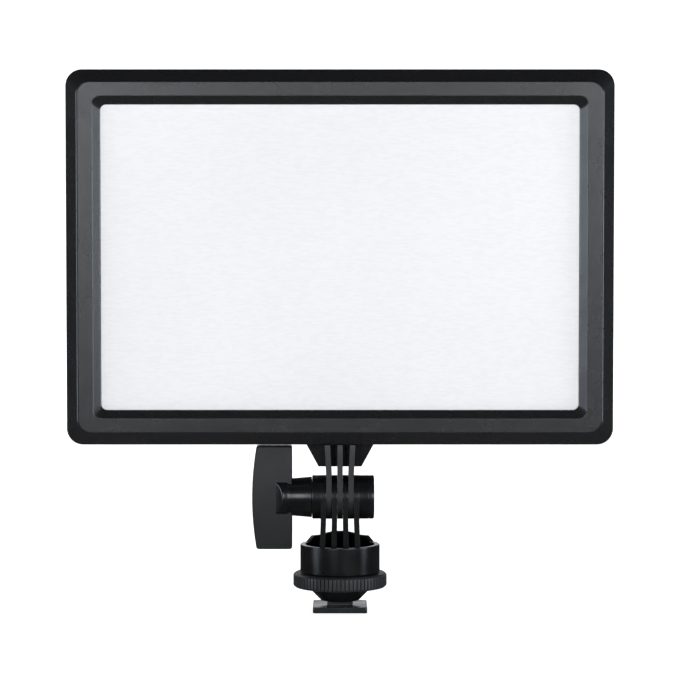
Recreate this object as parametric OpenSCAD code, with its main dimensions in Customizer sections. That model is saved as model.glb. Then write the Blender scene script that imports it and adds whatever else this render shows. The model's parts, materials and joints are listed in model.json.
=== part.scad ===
// Flat LED panel light on a ribbed tilt hinge with an accessory-shoe foot.
// Millimetres. +Z is up and the light shines towards -Y. The origin is the centre of the foot's
// underside.

/* [Panel] */
// Width of the panel
panel_w = 185.4; // [180:0.2:192]
// Height of the panel
panel_h = 127; // [124:0.5:132]
// Depth of the flat slab, from the front band to the back of the slab
slab_depth = 16; // [16:0.5:18]
// Depth of the raised centre housing behind the slab
housing_depth = 9; // [9:0.5:11]
// Wall thickness of the mouldings
wall = 2; // [1.8:0.1:2.2]

/* [Front frame] */
// Width of the sloping outer rim
rim_w = 4.2; // [3.6:0.1:4.6]
// Width of the flat textured band
band_w = 5.2; // [4.6:0.1:5.6]
// Width of the bevel around the window
bevel_w = 2.3; // [1.8:0.1:2.6]
// Corner radius of the panel
corner_r = 5.5; // [5:0.5:8]

/* [Tilt hinge] */
// Height of the tilt axis above the foot's underside
axis_z = 38.8; // [38:0.2:40]
// Distance from the tilt axis up to the panel
panel_gap = 18.5; // [18.5:0.5:22]
// Outer radius of the hinge discs and bosses
disc_r = 7.5; // [7:0.1:7.5]
// Thickness of one hinge fin
fin_t = 1.8; // [1.4:0.02:1.8]
// Pitch between a fin of the upper bracket and the next fin of the lower one
fin_pitch = 1.88; // [1.88:0.02:2]
// Radius of the tilt bolt's shank
bolt_r = 2.5; // [2:0.1:2.5]

/* [Knob] */
// Half the length of the wing
wing_half = 17.7; // [14:0.1:17.7]
// Radius of the knob's hub
hub_r = 6.95; // [6.5:0.05:7]

/* [Cup and foot] */
// Outer radius of the cup
cup_r = 13.6; // [13:0.1:14]
// Height of the cup's front rim
cup_rim_z = 22.7; // [22:0.1:23]
// Outer radius of the lock wheel
wheel_r = 16; // [15:0.5:16]
// Number of ribs on the lock wheel
wheel_ribs = 72; // [36:4:80]
// Width of the shoe foot
foot_w = 18.5; // [18:0.1:18.6]
// Thickness of the shoe foot
foot_t = 2; // [1.8:0.1:2]

/* [Battery plate] */
// Clear width between the battery rails
rail_gap = 39; // [38.6:0.1:39.4]
// Height of the battery plate
plate_h = 66; // [60:1:66]

/* [Hidden] */
$fn = 64;
eps = 0.01;
slip = 0.06;
// Length of cutters that go right through
through = 20;

// Depth planes of the panel, front to back
band_y = -12;
rim_top_y = band_y + 0.5;
rim_back_y = band_y + 5.5;
bevel_back_y = band_y + 2;
lip_back_y = band_y + 2.4;
split_y = band_y + 8;
slab_back_y = band_y + slab_depth;
slab_inner_y = slab_back_y - wall;
housing_y = slab_back_y + housing_depth;
housing_inner_y = housing_y - wall;

// Panel heights
panel_z0 = axis_z + panel_gap;
mid_z = panel_z0 + panel_h / 2;

// Front frame
border = rim_w + 0.2 + band_w + bevel_w - 0.25;
window_w = panel_w - 2 * border;
window_h = panel_h - 2 * border;
window_r = 2;
cavity_w = panel_w - 8.6;
cavity_h = panel_h - 8.6;
sheet_w = window_w + 3.2;
sheet_h = window_h + 3.2;
sheet_r = 2.5;
diffuser_t = 1.2;
guide_t = 2.4;
film_t = 0.3;
spreader_t = 1.2;
guide_y = lip_back_y + diffuser_t;
film_y = guide_y + guide_t;
spreader_y = film_y + film_t;
spreader_back_y = spreader_y + spreader_t;

// LED strips at the two short edges of the light guide
strip_x = sheet_w / 2 + 1.2;
strip_t = 1;
strip_h = 104;
chip_count = 24;
chip_pitch = strip_h / chip_count;
chip_t = 0.7;
flange_x = strip_x + strip_t;
foam_x = 45;
foam_row_z = 40;
foam_w = 24;
foam_h = 4;
foam_t = 1.5;
rib_t = 2;

// Case screws, on bosses in the panel's corners
boss_r = 2.7;
screw_x = cavity_w / 2 - boss_r;
screw_z = cavity_h / 2 - boss_r;
screw_r = 1.2;
screw_head_r = 2.2;
screw_head_t = 1.2;
screw_length = 11;

// Small screws of the board and the battery plate: shank, pilot hole, clear hole and head
small_r = 0.8;
small_pilot_r = 0.85;
small_clear_r = 1.1;
small_head_r = 1.8;
small_head_t = 0.9;

// Rear cover
cover_w = panel_w - 0.8;
cover_h = panel_h - 0.8;
cover_r = corner_r - 0.3;
cover_chamfer = 2.5;
housing_w = 72;
housing_h = 112;
housing_mid_z = mid_z + 1;
housing_slope = 3;
pocket_w = rail_gap + 6.6;
pocket_z0 = mid_z - plate_h / 2 + 6;
pocket_y = housing_y - 5.5;
pocket_floor = 1.6;
rail_t = 2;
rail_lip = 1.4;
rail_lip_t = 1.2;
plate_t = 2;
plate_y = pocket_y + plate_t;
plate_mid_z = pocket_z0 + plate_h / 2;
plate_screw_x = pocket_w / 2 - 6;
plate_screw_z = plate_h / 2 - 4;
contact_places = [-8, 0, 8];
contact_z = pocket_z0 + 3.6;
lamp_places = [-9, -3, 3, 9];
lamp_z = pocket_z0 + plate_h + 6;
lamp_r = 1.15;
vent_x = 48;
vent_w = 12;
vent_h = 2;
vent_pitch = 6;
vent_count = 7;

// Driver board
board_w = 58;
board_h = 84;
board_y = -0.6;
board_t = 1.6;
board_back_y = board_y + board_t;
post_x = board_w / 2 - 2;
post_z = board_h / 2 - 3;
post_r = 2;
jack_z = mid_z - 32.8;
jack_y = slab_back_y + 3.4;
jack_hole_r = 2.75;

// Controls on the back
dial_x = -64;
dial_r = 8;
dial_y0 = slab_back_y + 0.4;
dial_h = 6.4;
bright_z = mid_z + 17;
colour_z = mid_z - 13;
shaft_r = 1.5;
bushing_r = 3;
pot_size = 11;
pot_t = 4.4;
switch_z = mid_z - 42;
switch_slot_w = 8;
switch_slot_h = 3.2;

// Battery latch
latch_w = 10;
latch_h = 6;
latch_travel = 2.5;
latch_z = pocket_z0 + plate_h - 12;
spring_r = 1.3;
spring_wire = 0.4;
spring_turns = 6;
spring_h = 5;

// Tilt bracket and lower bracket
web_top = 11.9;
web_bottom = 7.35;
web_drop = 8;
upper_spread = 4.3;
lower_inner_spread = 2.15;
lower_outer_spread = 6.2;
flange_w = 32.4;
flange_d = 7.6;
flange_t = 2.2;
flange_screw_x = 14;
flange_screw_r = 1;
flange_head_r = 1.65;
flange_head_t = 1.2;
flange_screw_length = 7;
bracket_pad_w = 44;
left_boss_x = -9.5;
right_boss_x = 9.9;
cap_t = 1.85;
hex_r = 4.62;
hex_t = 2.8;
cap_bevel = 0.6;
cap_pin_r = 3.8;
thrust_r = 5.3;
thrust_recess_r = 5.6;
thrust_recess = 1.2;
cup_wall = 1.9;
cup_z0 = 13.05;
cup_floor_z = 17;
rear_rise = 1.8;
rear_step = 2.3;
rear_peak = 2.9;

// Knob
wing_right_x = -16.4;
wing_left_x = -30;
wing_bow_r = 105;
wing_thick = 9;
wing_side_r = 105;
hub_x0 = -9.6;
hub_step_x = -17.2;
hub_neck_r = 6.3;
hub_end_x = -25.97;
facet_slope = 0.94;
insert_r = 4;
insert_x0 = -19.6;

// Lock wheel, washer and foot
wheel_z0 = 8.1;
wheel_z1 = 12.9;
rib_depth = 0.45;
stud_r = 5;
neck_r = 5.9;
neck_z = 5;
washer_z0 = 3.5;
washer_z1 = 8;
washer_low_r = 6.6;
washer_top_r = 11;
socket_r = 2.55;
socket_depth = 7;
tripod_insert_r = 3.9;
foot_d = 18;
wheel_insert_r = 7;
wheel_chamfer = 0.6;

// ---- Helpers -----------------------------------------------------------------------------------

// Rectangle with rounded corners, centred.
module round_rect(w, h, r) {
    square([w - 2 * r, h], center = true);
    square([w, h - 2 * r], center = true);
    for (x = [-1, 1], y = [-1, 1])
        translate([x * (w / 2 - r), y * (h / 2 - r)]) circle(r);
}

// Extrudes a drawing made in X and Z from depth y0 back to depth y1.
module deep(y0, y1) {
    translate([0, y1, 0]) rotate([90, 0, 0]) linear_extrude(y1 - y0) children();
}

// Rounded slab that faces the front, centred on the panel.
module slab(y0, y1, w, h, r, z = mid_z) {
    deep(y0, y1) translate([0, z]) round_rect(w, h, r);
}

// Box given by its low and high corners.
module block(low, high) {
    translate(low) cube(high - low);
}

// Cylinder along X from x0 to x1 at the tilt axis.
module axle(x0, x1, r, sides = 64) {
    translate([x0, 0, axis_z]) rotate([0, 90, 0]) cylinder(h = x1 - x0, r = r, $fn = sides);
}

// Cylinder along Y from y0 to y1.
module rod_y(x, z, y0, y1, r) {
    translate([x, y1, z]) rotate([90, 0, 0]) cylinder(h = y1 - y0, r = r);
}

// Copies to the four corners at half-spacings x and z about the panel's middle.
module four(x, z, zc = mid_z) {
    for (sx = [-1, 1], sz = [-1, 1])
        translate([sx * x, 0, zc + sz * z]) children();
}

// One hinge fin: a disc on the axis and a stem that bends away from x0 to x1 at height z1.
module fin(x0, x1, z1) {
    side = z1 > axis_z ? 1 : -1;
    half = fin_t / 2;
    axle(x0 - half, x0 + half, disc_r);
    deep(-disc_r, disc_r) polygon([
        [x0 - half, axis_z], [x0 + half, axis_z], [x0 + half, axis_z + side * disc_r],
        [x1 + half, z1], [x1 - half, z1], [x0 - half, axis_z + side * disc_r]]);
}

// Knurled outline: ribs of a given depth around a circle.
module knurl(r, ribs, depth) {
    step = 360 / ribs;
    profile = [[0, r - depth], [0.3, r - depth], [0.45, r], [0.85, r]];
    polygon([for (i = [0:ribs - 1], p = profile)
        let (a = (i + p[0]) * step) [p[1] * cos(a), p[1] * sin(a)]]);
}

// Machine screw pointing forwards from depth y: a flat head and a shank.
module screw_y(x, z, y, head_r, head_t, r, length) {
    rod_y(x, z, y - head_t, y, head_r);
    rod_y(x, z, y - length, y - head_t + eps, r);
}

// ---- Foot, wheel and lower bracket ---------------------------------------------------------------

module shoe_foot() {
    color("#2a2a2c") difference() {
        union() {
            translate([-foot_w / 2, -foot_d / 2, 0]) cube([foot_w, foot_d, foot_t]);
            cylinder(h = neck_z, r = neck_r);
            cylinder(h = cup_floor_z - 0.5, r = stud_r);
        }
        translate([0, 0, -1]) cylinder(h = socket_depth + 1, r = tripod_insert_r);
    }
}

// Threaded bush for a quarter-inch tripod screw.
module tripod_insert() {
    color("goldenrod") difference() {
        cylinder(h = socket_depth, r = tripod_insert_r);
        translate([0, 0, -1]) cylinder(h = socket_depth + 2, r = socket_r);
    }
}

// Cup wall outline at the rear: raised, with sloping ends and a peak in the middle.
module rear_outline() {
    half = [[11.8, cup_z0], [11.8, cup_rim_z], [10, cup_rim_z + rear_rise],
        [5.9, cup_rim_z + rear_rise], [5.3, cup_rim_z + rear_step], [2.2, cup_rim_z + rear_peak]];
    polygon(concat(half, [for (i = [len(half) - 1:-1:0]) [-half[i][0], half[i][1]]]));
}

module lower_bracket() {
    color("#242426") difference() {
        union() {
            difference() {
                translate([0, 0, cup_z0]) cylinder(h = cup_rim_z - cup_z0, r = cup_r);
                translate([0, 0, cup_floor_z]) cylinder(h = through, r = cup_r - cup_wall);
            }
            intersection() {
                translate([0, 0, cup_z0]) difference() {
                    cylinder(h = through, r = cup_r);
                    translate([0, 0, -1]) cylinder(h = through + 2, r = cup_r - cup_wall);
                }
                deep(1, cup_r + 1) rear_outline();
            }
            for (s = [-1, 1]) {
                fin(s * fin_pitch, s * lower_inner_spread, cup_floor_z - 1);
                fin(s * 3 * fin_pitch, s * lower_outer_spread, cup_floor_z - 1);
            }
            axle(left_boss_x, -3 * fin_pitch, disc_r);
            axle(3 * fin_pitch, right_boss_x, disc_r);
        }
        axle(left_boss_x - 1, right_boss_x + 1, bolt_r + slip);
        axle(left_boss_x - 1, left_boss_x + thrust_recess, thrust_recess_r);
        axle(3 * fin_pitch + fin_t / 2, right_boss_x + 1, hex_r + 0.08, 6);
        translate([0, 0, cup_z0 - 1]) cylinder(h = cup_floor_z - 0.5 - cup_z0 + 1, r = stud_r);
    }
}

module tilt_bolt() {
    head_x = 3 * fin_pitch + fin_t / 2;
    color("silver") {
        axle(head_x + eps, head_x + hex_t, hex_r, 6);
        axle(insert_x0 + 0.6, head_x + 0.5, bolt_r);
    }
}

module bolt_cap() {
    color("#242426") union() {
        axle(right_boss_x, right_boss_x + cap_t - cap_bevel, disc_r);
        translate([right_boss_x + cap_t - cap_bevel, 0, axis_z]) rotate([0, 90, 0])
            cylinder(h = cap_bevel, r1 = disc_r, r2 = disc_r - cap_bevel);
        axle(right_boss_x - 0.5, right_boss_x + eps, cap_pin_r);
    }
}

// Cone that slides on the neck and presses on the shoe's rails.
module clamp_washer() {
    color("#2e2e30") difference() {
        translate([0, 0, washer_z0])
            cylinder(h = washer_z1 - washer_z0, r1 = washer_low_r, r2 = washer_top_r);
        cylinder(h = through, r = neck_r + slip);
    }
}

module lock_wheel() {
    color("#333336") difference() {
        intersection() {
            translate([0, 0, wheel_z0]) linear_extrude(wheel_z1 - wheel_z0)
                knurl(wheel_r, wheel_ribs, rib_depth);
            rotate_extrude() polygon([[0, wheel_z0], [wheel_r - wheel_chamfer, wheel_z0],
                [wheel_r + 0.1, wheel_z0 + wheel_chamfer], [wheel_r + 0.1, wheel_z1 - wheel_chamfer],
                [wheel_r - wheel_chamfer, wheel_z1], [0, wheel_z1]]);
        }
        translate([0, 0, wheel_z0 - 1]) cylinder(h = through, r = wheel_insert_r);
    }
}

module wheel_insert() {
    color("goldenrod") difference() {
        translate([0, 0, wheel_z0]) cylinder(h = wheel_z1 - wheel_z0, r = wheel_insert_r);
        cylinder(h = through, r = stud_r + slip);
    }
}

// ---- Knob ----------------------------------------------------------------------------------------

module knob_washer() {
    color("silver") difference() {
        axle(left_boss_x + 0.1, left_boss_x + thrust_recess - 0.1, thrust_r);
        axle(left_boss_x - 1, left_boss_x + 2, bolt_r + slip);
    }
}

// Wing: flat on the hub side, bowed on the outer side, and thinner towards its ends.
module wing() {
    intersection() {
        block([wing_left_x - 1, -wing_thick, axis_z - wing_half],
            [wing_right_x, wing_thick, axis_z + wing_half]);
        translate([wing_left_x + wing_bow_r, wing_thick, axis_z]) rotate([90, 0, 0])
            cylinder(h = 2 * wing_thick, r = wing_bow_r, $fn = 256);
        wing_side(wing_thick / 2 - wing_side_r);
        wing_side(wing_side_r - wing_thick / 2);
    }
}

// Large cylinder whose surface is one side of the wing.
module wing_side(y) {
    translate([wing_left_x - 2, y, axis_z]) rotate([0, 90, 0])
        cylinder(h = wing_right_x - wing_left_x + 4, r = wing_side_r, $fn = 256);
}

// Hub: a cylinder in the wing, its outer end cut away by two sloping facets, and a cone that
// widens from the wing towards the hinge.
module knob_hub() {
    facet_x = hub_end_x + 8 * facet_slope;
    intersection() {
        axle(hub_end_x, hub_step_x, hub_r);
        translate([0, 0, axis_z - through / 2]) linear_extrude(through) polygon([
            [hub_x0, -8], [facet_x, -8],
            [hub_end_x, 0], [facet_x, 8], [hub_x0, 8]]);
    }
    translate([hub_step_x - eps, 0, axis_z]) rotate([0, 90, 0])
        cylinder(h = hub_x0 - hub_step_x + eps, r1 = hub_neck_r, r2 = hub_r);
}

module tilt_knob() {
    color("#303033") difference() {
        union() {
            wing();
            knob_hub();
        }
        axle(insert_x0, hub_x0 + 1, insert_r);
    }
}

module knob_insert() {
    color("goldenrod") difference() {
        axle(insert_x0, hub_x0 - 0.2, insert_r);
        axle(insert_x0 - 1, hub_x0 + 1, bolt_r + slip);
    }
}

// ---- Tilt bracket --------------------------------------------------------------------------------

module tilt_bracket() {
    stem_top = panel_z0 - 0.1;
    color("#2a2a2c") difference() {
        union() {
            fin(0, 0, stem_top);
            for (s = [-1, 1])
                fin(s * 2 * fin_pitch, s * upper_spread, stem_top);
            deep(0, 3) polygon([[-web_top, stem_top], [web_top, stem_top],
                [web_bottom, stem_top - web_drop], [-web_bottom, stem_top - web_drop]]);
            translate([-flange_w / 2, -flange_d / 2, stem_top - 0.1])
                cube([flange_w, flange_d, flange_t]);
        }
        axle(-through, through, bolt_r + slip);
        for (s = [-1, 1])
            translate([s * flange_screw_x, 0, panel_z0 - 1]) {
                cylinder(h = 2 * flange_head_t, r = flange_head_r + 0.1);
                cylinder(h = through, r = flange_screw_r + 0.05);
            }
    }
}

module bracket_screws() {
    color("silver") for (s = [-1, 1])
        translate([s * flange_screw_x, 0, panel_z0 + 0.2]) {
            cylinder(h = flange_head_t, r = flange_head_r);
            cylinder(h = flange_screw_length, r = flange_screw_r);
        }
}

// ---- Panel front ---------------------------------------------------------------------------------

module front_bezel() {
    rim_in_w = panel_w - 2 * rim_w;
    rim_in_h = panel_h - 2 * rim_w;
    band_r = corner_r - 1.2;
    color("#2b2b2d") {
        difference() {
            union() {
                slab(rim_back_y - eps, split_y, panel_w, panel_h, corner_r);
                hull() {
                    slab(rim_back_y - 0.2, rim_back_y, panel_w, panel_h, corner_r, $fn = 32);
                    slab(rim_top_y, rim_top_y + eps, rim_in_w, rim_in_h, corner_r - 1, $fn = 32);
                }
                slab(band_y, rim_top_y + 0.1, rim_in_w - 0.4, rim_in_h - 0.4, band_r);
            }
            hull() {
                slab(band_y - 0.5, band_y, window_w + 2 * bevel_w, window_h + 2 * bevel_w,
                    window_r + 1, $fn = 32);
                slab(bevel_back_y, bevel_back_y + eps, window_w, window_h, window_r, $fn = 32);
            }
            slab(bevel_back_y - eps, lip_back_y + 1, window_w, window_h, window_r);
            slab(lip_back_y, split_y + 1, cavity_w, cavity_h, 3);
        }
        difference() {
            four(screw_x, screw_z) rod_y(0, 0, lip_back_y - eps, split_y, boss_r);
            four(screw_x, screw_z) rod_y(0, 0, lip_back_y + 0.6, split_y + 1, screw_r + 0.05);
        }
    }
}

module diffuser_sheet() {
    color("white") slab(lip_back_y, guide_y, sheet_w, sheet_h, sheet_r);
}

module light_guide() {
    color("aliceblue") slab(guide_y, film_y, sheet_w, sheet_h, sheet_r);
}

module reflector_sheet() {
    color("whitesmoke") slab(film_y, spreader_y, sheet_w, sheet_h, sheet_r);
}

// Aluminium plate behind the light guide, with a flange behind each LED strip.
module heat_spreader() {
    half = flange_x + 1.2;
    color("silver") union() {
        slab(spreader_y, spreader_back_y, 2 * half, strip_h, 1);
        for (s = [-1, 1])
            translate([s * (flange_x + 0.6), (lip_back_y + 0.2 + spreader_back_y) / 2, mid_z])
                cube([1.2, spreader_back_y - lip_back_y - 0.2, strip_h], center = true);
    }
}

module led_strip(side) {
    x = side * (strip_x + strip_t / 2);
    color("darkgreen") translate([x, (lip_back_y + 0.2 + spreader_y) / 2, mid_z])
        cube([strip_t, spreader_y - lip_back_y - 0.4, strip_h - 0.4], center = true);
}

module led_strip_left() {
    led_strip(-1);
}

module led_strip_right() {
    led_strip(1);
}

// Every second chip on both strips, starting at the given one.
module led_chips(first) {
    for (s = [-1, 1], i = [first:2:chip_count - 1])
        translate([s * (strip_x - chip_t / 2), (guide_y + film_y) / 2,
            mid_z + (i - (chip_count - 1) / 2) * chip_pitch])
            cube([chip_t, 2.2, 3], center = true);
}

module daylight_leds() {
    color("lightyellow") led_chips(0);
}

module tungsten_leds() {
    color("orange") led_chips(1);
}

// Flat leads from the lower end of each strip to the driver board.
module strip_leads() {
    low = mid_z - strip_h / 2 - 1.4;
    back = spreader_back_y + 0.5;
    board_low = mid_z - board_h / 2;
    inner_x = board_w / 2 - 9;
    color("ivory") for (s = [0, 1])
        mirror([s, 0, 0]) {
            block([strip_x + 0.1, lip_back_y + 1, low], [strip_x + 0.9, back + 0.3, low + 1.2]);
            block([inner_x, back, low], [strip_x + 0.9, back + 0.3, low + 3.2]);
            block([inner_x, back, low], [inner_x + 3, back + 0.3, board_low + 3]);
            block([inner_x, back, board_low + 1], [inner_x + 3, board_y, board_low + 1.3]);
        }
}

// Foam that presses the optical stack forwards from ribs in the cover.
module foam_strips() {
    color("dimgray") for (sx = [-1, 1], sz = [-1, 1])
        translate([sx * foam_x - foam_w / 2, spreader_back_y, mid_z + sz * foam_row_z - foam_h / 2])
            cube([foam_w, foam_t, foam_h]);
}

// ---- Rear cover ----------------------------------------------------------------------------------

module cover_shell() {
    difference() {
        union() {
            slab(split_y, slab_inner_y - 0.5, cover_w, cover_h, cover_r);
            hull() {
                slab(slab_inner_y - 0.6, slab_inner_y - 0.5, cover_w, cover_h, cover_r, $fn = 32);
                slab(slab_back_y - eps, slab_back_y, cover_w - 2 * cover_chamfer,
                    cover_h - 2 * cover_chamfer, cover_r - 0.7, $fn = 32);
            }
            hull() {
                slab(slab_back_y - 0.2, slab_back_y, housing_w, housing_h, 8, housing_mid_z, $fn = 32);
                slab(housing_y - eps, housing_y, housing_w - 2 * housing_slope,
                    housing_h - 2 * housing_slope, 6, housing_mid_z, $fn = 32);
            }
        }
        slab(split_y - 1, slab_inner_y, cover_w - 2 * wall, cover_h - 2 * wall, 4);
        slab(slab_inner_y - 1, housing_inner_y, housing_w - 10, housing_h - 10, 4, housing_mid_z);
    }
}

// Solid features inside the cover: screw bosses, board posts, bracket pad, ribs, pocket walls.
module cover_inside() {
    four(screw_x, screw_z) rod_y(0, 0, split_y, slab_inner_y + eps, boss_r);
    four(post_x, post_z) rod_y(0, 0, board_back_y, housing_inner_y + eps, post_r);
    block([-bracket_pad_w / 2, split_y, panel_z0 + 0.4],
        [bracket_pad_w / 2, slab_inner_y + eps, panel_z0 + 9]);
    for (sx = [-1, 1], sz = [-1, 1])
        translate([sx * foam_x - foam_w / 2, spreader_back_y + foam_t, mid_z + sz * foam_row_z - rib_t / 2])
            cube([foam_w, slab_inner_y - spreader_back_y - foam_t + eps, rib_t]);
    block([-pocket_w / 2 - 1.6, pocket_y - pocket_floor, pocket_z0 - 1.6],
        [pocket_w / 2 + 1.6, housing_inner_y + eps, pocket_z0 + plate_h + 1.6]);
}

// Vent slots in the slab's back wall, two columns beside the housing.
module vent_slots() {
    for (s = [-1, 1], i = [0:vent_count - 1])
        translate([s * vent_x, 0, mid_z + (i - (vent_count - 1) / 2) * vent_pitch])
            deep(slab_inner_y - 1, slab_back_y + 1) {
                square([vent_w, vent_h], center = true);
                for (end = [-1, 1])
                    translate([end * vent_w / 2, 0]) circle(vent_h / 2);
            }
}

module rear_cover() {
    color("#2b2b2d") difference() {
        union() {
            cover_shell();
            cover_inside();
        }
        block([-pocket_w / 2, pocket_y, pocket_z0],
            [pocket_w / 2, housing_y + 1, pocket_z0 + plate_h]);
        block([-latch_w / 2 - 0.5, pocket_y - 5, latch_z - latch_h / 2 + 1 - spring_h],
            [latch_w / 2 + 0.5, pocket_y + 1, latch_z + latch_h / 2 + 1]);
        for (x = contact_places)
            block([x - 1.5, pocket_y - 5, contact_z - 0.6], [x + 1.5, pocket_y + 1, contact_z + 2.4]);
        four(plate_screw_x, plate_screw_z, plate_mid_z)
            rod_y(0, 0, pocket_y - 5, pocket_y + 1, small_pilot_r);
        four(screw_x, screw_z) rod_y(0, 0, split_y - 1, slab_back_y + 1, screw_r + 0.2);
        four(screw_x, screw_z) rod_y(0, 0, slab_back_y - screw_head_t - 0.1, slab_back_y + 1,
            screw_head_r + 0.2);
        four(post_x, post_z) rod_y(0, 0, board_back_y - 1, board_back_y + 6, small_pilot_r);
        vent_slots();
        for (z = [bright_z, colour_z])
            rod_y(dial_x, z, slab_inner_y - 1, slab_back_y + 1, bushing_r + 0.2);
        block([dial_x - switch_slot_w / 2, slab_inner_y - 1, switch_z - switch_slot_h / 2],
            [dial_x + switch_slot_w / 2, slab_back_y + 1, switch_z + switch_slot_h / 2]);
        translate([-housing_w / 2 - 1, jack_y, jack_z]) rotate([0, 90, 0])
            cylinder(h = 8, r = jack_hole_r + 0.6);
        for (x = lamp_places)
            rod_y(x, lamp_z, housing_inner_y - 1, housing_y + 1, lamp_r + 0.05);
        block([-flange_w / 2 - 0.1, -flange_d / 2 - 0.1, panel_z0 - 1],
            [flange_w / 2 + 0.1, flange_d / 2 + 0.1, panel_z0 + 2]);
        for (s = [-1, 1])
            translate([s * flange_screw_x, 0, panel_z0])
                cylinder(h = flange_screw_length + 1, r = flange_screw_r + 0.03);
    }
}

module case_screws() {
    color("dimgray") four(screw_x, screw_z)
        screw_y(0, 0, slab_back_y - 0.1, screw_head_r, screw_head_t, screw_r, screw_length);
}

// ---- Electronics ---------------------------------------------------------------------------------

module driver_board() {
    color("darkgreen") difference() {
        block([-board_w / 2, board_y, mid_z - board_h / 2],
            [board_w / 2, board_back_y, mid_z + board_h / 2]);
        four(post_x, post_z) rod_y(0, 0, board_y - 1, board_back_y + 1, small_clear_r);
    }
}

// Inductors, capacitors, drivers and sockets on the board.
module board_components() {
    height = pocket_y - pocket_floor - board_back_y - 0.8;
    back = board_back_y;
    color("#3a3a3a") {
        for (x = [-12, 12])
            rod_y(x, mid_z + 6, back, back + height, 5);
        for (x = [-14, -2, 10])
            block([x, back, mid_z - 20], [x + 7, back + 1.6, mid_z - 12]);
        for (i = [0:5])
            block([-20 + 7 * i, back, mid_z + 20], [-17 + 7 * i, back + 1, mid_z + 22]);
        block([-10, back, mid_z + 33], [10, back + height, mid_z + 38]);
        for (s = [-1, 1])
            block([s * 22 - 3, back, mid_z - 22], [s * 22 + 3, back + height, mid_z - 16]);
    }
}

module board_screws() {
    color("silver") four(post_x, post_z) {
        rod_y(0, 0, board_y - 1.2, board_y, small_head_r);
        rod_y(0, 0, board_y - 0.1, board_y + 6, small_r);
    }
}

// Two rotary controls behind the cover, each with a bushing that comes through the wall.
module potentiometers() {
    half = pot_size / 2;
    color("steelblue") for (z = [bright_z, colour_z])
        difference() {
            union() {
                block([dial_x - half, slab_inner_y - pot_t, z - half],
                    [dial_x + half, slab_inner_y, z + half]);
                rod_y(dial_x, z, slab_inner_y - eps, slab_back_y + 1, bushing_r);
            }
            rod_y(dial_x, z, slab_inner_y - pot_t + 1, slab_back_y + 2, shaft_r + slip);
        }
}

module shaft(z) {
    color("silver") rod_y(dial_x, z, slab_inner_y - pot_t + 1.3, dial_y0 + dial_h - 1.2, shaft_r);
}

module brightness_shaft() {
    shaft(bright_z);
}

module colour_shaft() {
    shaft(colour_z);
}

// Ribbed dial with a recess underneath for the bushing and a pointer groove on top.
module dial(z) {
    top = dial_y0 + dial_h;
    color("#303033") difference() {
        deep(dial_y0, top) translate([dial_x, z]) knurl(dial_r, 30, 0.5);
        rod_y(dial_x, z, dial_y0 - 1, dial_y0 + 1.2, 4);
        rod_y(dial_x, z, dial_y0, top - 1.2, shaft_r + 0.01);
        block([dial_x - 0.5, top - 0.5, z + 3], [dial_x + 0.5, top + 1, z + 7]);
    }
}

module brightness_dial() {
    dial(bright_z);
}

module colour_dial() {
    dial(colour_z);
}

module switch_body() {
    color("dimgray") block([dial_x - 6, slab_inner_y - 4, switch_z - 3.2],
        [dial_x + 6, slab_inner_y - 0.6, switch_z + 3.2]);
}

// Slide switch's thumb piece, at the off end of its slot.
module power_switch() {
    color("#4a4a4c") block([dial_x - 3.6, slab_inner_y - 0.5, switch_z - 1.3],
        [dial_x + 0.2, slab_back_y + 1.4, switch_z + 1.3]);
}

// Barrel power socket in the housing's side.
module dc_jack() {
    x0 = -housing_w / 2 + 5.2;
    color("#3a3a3a") difference() {
        block([x0, jack_y - 3.2, jack_z - 4], [x0 + 12, jack_y + 3.4, jack_z + 4]);
        translate([x0 - 1, jack_y, jack_z]) rotate([0, 90, 0]) difference() {
            cylinder(h = 10, r = jack_hole_r);
            cylinder(h = 10, r = 1.05);
        }
    }
}

// ---- Battery plate -------------------------------------------------------------------------------

// Plate with side rails, lips over the rails, a stop and a latch slot.
module battery_plate() {
    z1 = pocket_z0 + plate_h;
    top = housing_y - 0.3;
    half = rail_gap / 2;
    color("#343437") difference() {
        union() {
            block([-pocket_w / 2 + 0.1, pocket_y, pocket_z0 + 0.1],
                [pocket_w / 2 - 0.1, plate_y, z1 - 0.1]);
            for (s = [0, 1])
                mirror([s, 0, 0]) for (z = [pocket_z0 + 14, pocket_z0 + 42]) {
                    block([half, plate_y - eps, z], [half + rail_t, top, z + 14]);
                    block([half - rail_lip, top - rail_lip_t, z], [half + eps, top, z + 14]);
                }
            block([-14, plate_y - eps, pocket_z0 + 1], [14, top, pocket_z0 + 7]);
        }
        block([-latch_w / 2 - 0.2, pocket_y - 1, latch_z - latch_h / 2 - latch_travel - 0.3],
            [latch_w / 2 + 0.2, plate_y + 1, latch_z + latch_h / 2 + 0.2]);
        for (x = contact_places) {
            block([x - 0.6, pocket_y - 1, contact_z - 0.1], [x + 0.6, top + 1, contact_z + 1.9]);
            block([x - 0.6, plate_y, contact_z - 0.1], [x + 0.6, top + 1, contact_z + 4.4]);
        }
        four(plate_screw_x, plate_screw_z, plate_mid_z) {
            rod_y(0, 0, pocket_y - 1, plate_y + 1, small_clear_r);
            rod_y(0, 0, plate_y - 1, plate_y + 1, small_head_r + 0.1);
        }
    }
}

module plate_screws() {
    color("silver") four(plate_screw_x, plate_screw_z, plate_mid_z)
        screw_y(0, 0, plate_y, small_head_r, small_head_t, small_r, plate_t + 2.6);
}

// Three spring blades that stand in the stop block and point up the plate.
module battery_contacts() {
    color("gold") for (x = contact_places) {
        block([x - 0.5, pocket_y - 2, contact_z], [x + 0.5, plate_y + 2, contact_z + 1.8]);
        block([x - 0.5, plate_y + 0.6, contact_z], [x + 0.5, plate_y + 1.6, contact_z + 8.4]);
    }
}

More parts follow.
